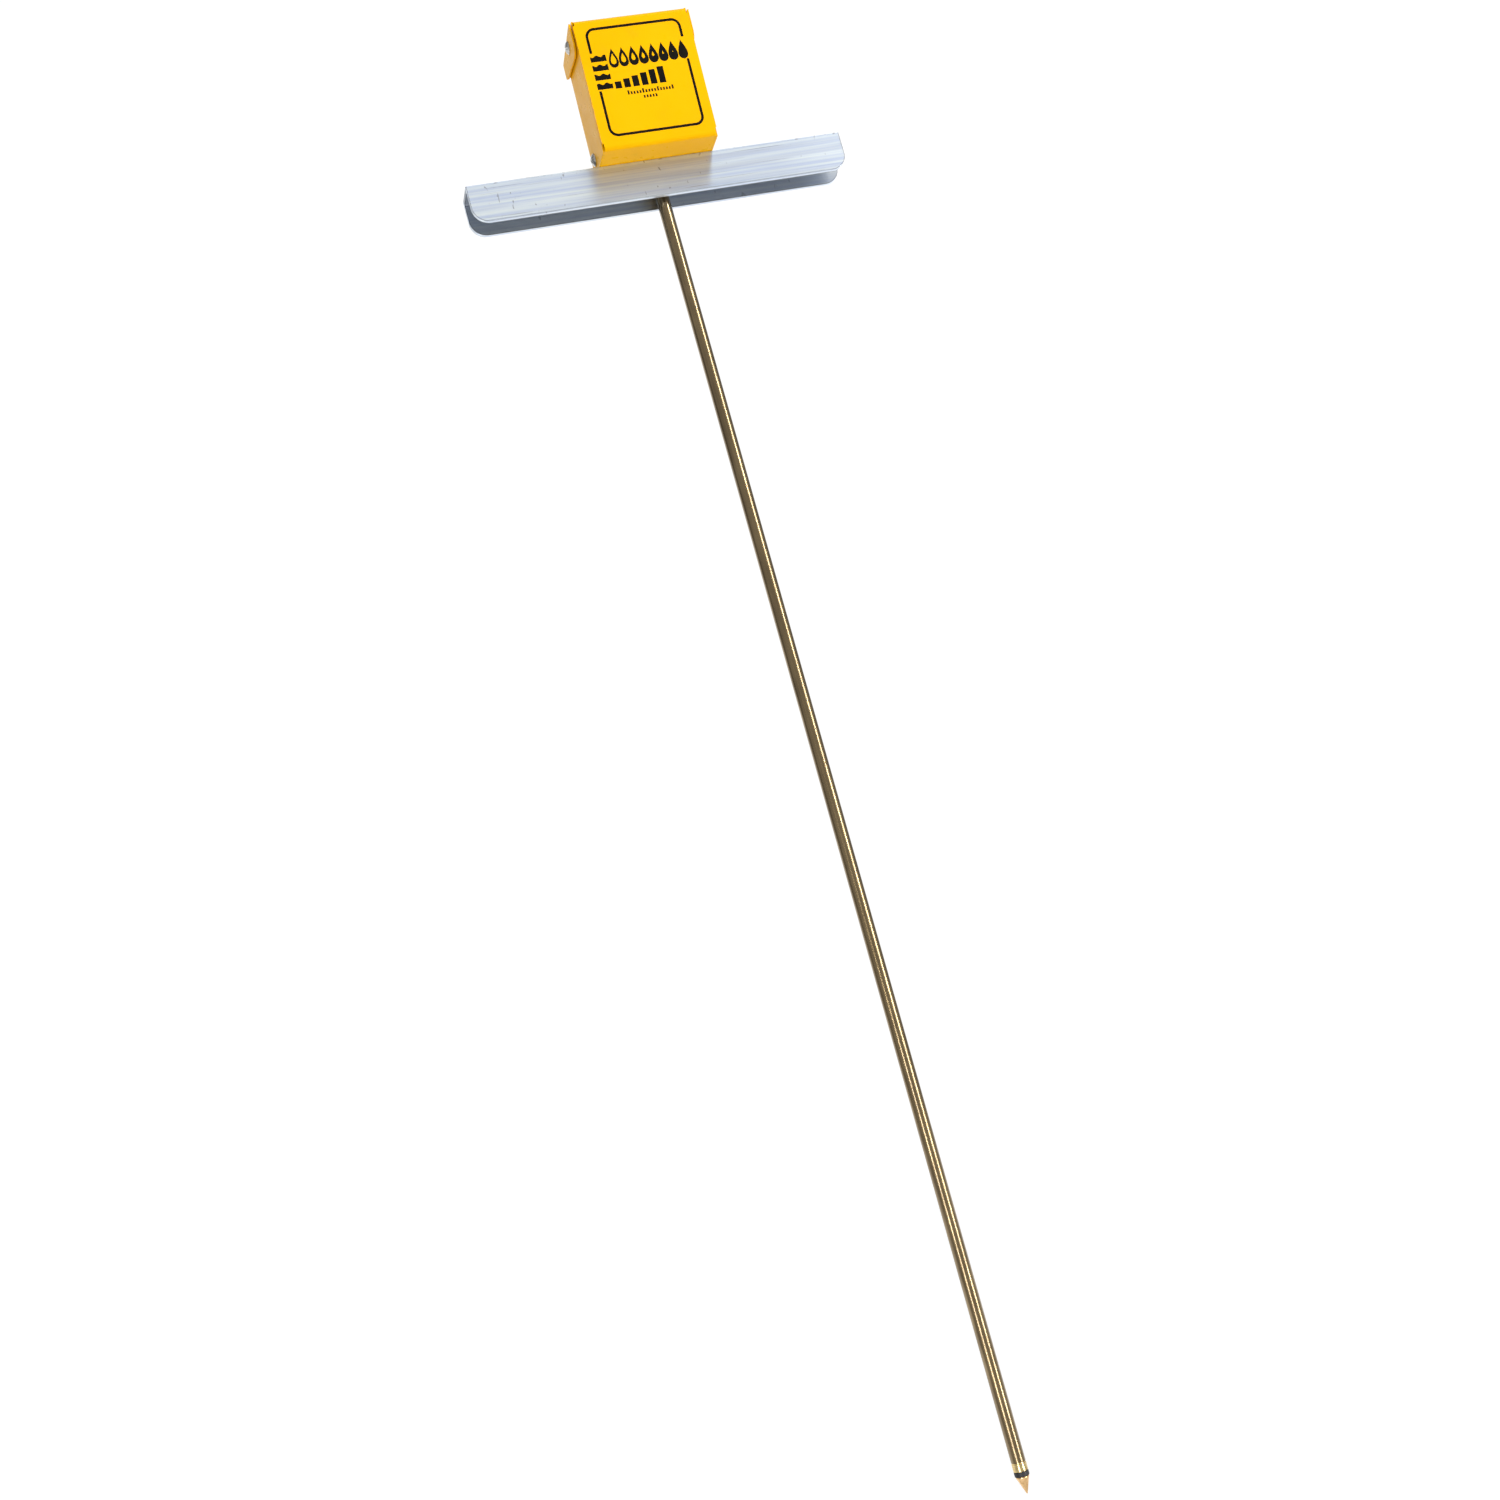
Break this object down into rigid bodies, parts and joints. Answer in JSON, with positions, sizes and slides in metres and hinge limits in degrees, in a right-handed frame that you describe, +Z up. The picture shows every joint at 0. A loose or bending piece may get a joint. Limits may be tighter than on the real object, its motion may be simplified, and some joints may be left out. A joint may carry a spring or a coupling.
{
  "type": "soil moisture meter",
  "caption": "Soil moisture meter: long thin metal probe with a pointed tip under an aluminium T-handle, and a yellow sheet-metal meter box with a flip-up dial cover.",
  "frame": {"origin": "on the probe's axis, at the underside of the bushing shoulder where the bare probe tube begins", "axes": "+Z up along the probe, +X along the handle, +Y towards the user, who reads the dial"},
  "size_m": [0.27, 0.0538, 1.0073],
  "materials": {
    "mill_aluminium": "mill finish with lengthwise drawing lines and scratches",
    "aged_brass": "aged, olive-brown, satin",
    "collar_brass": "turned, bright",
    "black_plastic": "matt",
    "tip_bronze": "turned, bright",
    "brass_parts": "turned",
    "white_nylon": "natural nylon",
    "nickel_plate": "nickel plated",
    "yellow_paint": "semi-gloss enamel on bent sheet steel",
    "black_rubber": "matt",
    "black_bakelite": "moulded, semi-gloss",
    "clear_window": "clear",
    "dial_white": "matt white with a printed scale",
    "magnet_iron": "ground",
    "pointer_black": "matt black",
    "copper_coil": "enamelled copper winding",
    "board_green": "solder mask",
    "resistor_tan": "lacquered",
    "pot_blue": "moulded",
    "cell_jacket": "printed jacket",
    "red_wire": "insulated lead",
    "white_wire": "insulated lead",
    "black_wire": "insulated lead"
  },
  "bodies": {
    "probe_and_box": {"handle_channel": "mill_aluminium", "floor_rivets": "mill_aluminium", "probe_tube": "aged_brass", "end_collar": "collar_brass", "tip_insulator": "black_plastic", "tip_electrode": "tip_bronze", "conductor_rod": "brass_parts", "conductor_sleeve": "white_nylon", "probe_bushing": "brass_parts", "ground_lug": "nickel_plate", "lock_washer": "nickel_plate", "probe_nut": "brass_parts", "terminal_washer": "white_nylon", "terminal_nuts": "brass_parts", "terminal_lug": "nickel_plate", "front_cover": "yellow_paint", "rear_housing": "yellow_paint", "side_screws": "nickel_plate", "clinch_nuts": "nickel_plate", "pivot_screws": "nickel_plate", "pivot_washers": "white_nylon", "pivot_nuts": "nickel_plate", "cover_bumpers": "black_rubber", "meter_case": "black_bakelite", "meter_bezel": "black_bakelite", "meter_window": "clear_window", "dial_plate": "dial_white", "meter_magnet": "magnet_iron", "magnet_core": "magnet_iron", "front_bridge": "brass_parts", "rear_bridge": "brass_parts", "hairspring": "nickel_plate", "meter_nuts": "nickel_plate", "meter_posts": "brass_parts", "post_nuts": "brass_parts", "circuit_board": "board_green", "resistors": "resistor_tan", "calibration_pot": "pot_blue", "pot_nut": "nickel_plate", "battery": "cell_jacket", "battery_holder": "black_plastic", "battery_contacts": "nickel_plate", "battery_leads": "red_wire", "probe_lead": "white_wire", "ground_lead": "black_wire"},
    "dial_cover_body": {"dial_cover": "yellow_paint"},
    "pointer_body": {"pointer": "pointer_black", "pointer_coil": "copper_coil"},
    "zero_screw_body": {"zero_adjuster": "black_plastic"},
    "calibration_body": {"calibration_shaft": "nickel_plate"}
  },
  "joints": [
    {"name": "dial_cover_hinge", "type": "hinge", "parent": "probe_and_box", "child": "dial_cover_body", "pos_m": [0, -0.02334, 0.09954], "axis": [1, 0, 0], "range_deg": [0, 180]},
    {"name": "pointer_swing", "type": "hinge", "parent": "probe_and_box", "child": "pointer_body", "pos_m": [0, 0.00092, 0.06571], "axis": [0, -0.9954, -0.0958], "range_deg": [0, 90], "stiffness_Nm_per_rad": 0.002},
    {"name": "zero_adjust_turn", "type": "hinge", "parent": "probe_and_box", "child": "zero_screw_body", "pos_m": [0, 0.00778, 0.0497], "axis": [0, 0.9954, 0.0958], "range_deg": [-20, 20]},
    {"name": "calibration_turn", "type": "hinge", "parent": "probe_and_box", "child": "calibration_body", "pos_m": [0.022, 0.00697, 0.03515], "axis": [0, 0.9954, 0.0958], "range_deg": [-135, 135]}
  ]
}
